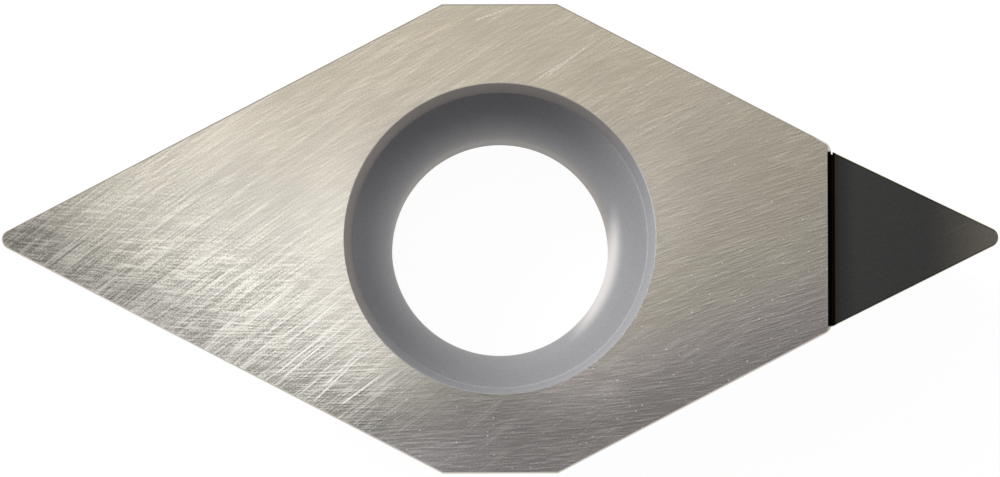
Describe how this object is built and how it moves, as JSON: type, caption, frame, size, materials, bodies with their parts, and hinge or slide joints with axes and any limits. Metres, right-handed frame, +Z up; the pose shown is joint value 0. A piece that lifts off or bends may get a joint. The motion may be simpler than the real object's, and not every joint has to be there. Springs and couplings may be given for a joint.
{
  "type": "turning insert",
  "caption": "Rhombic carbide turning insert with a central screw hole and a diamond tip brazed into a stepped pocket at its acute corner.",
  "frame": {"origin": "on the screw hole's axis in the plane of the seat face, which is the middle of the underside", "axes": "+Z up the hole to the rake face; +X along the long diagonal to the diamond nose; +Y to the left of it"},
  "size_m": [0.0202, 0.0096, 0.004],
  "materials": {
    "carbide": "ground",
    "braze": "tarnished",
    "diamond": "lapped, semi-matte"
  },
  "bodies": {
    "root": {"insert_body": "carbide", "braze_seam": "braze", "diamond_tip": "diamond"}
  },
  "joints": []
}
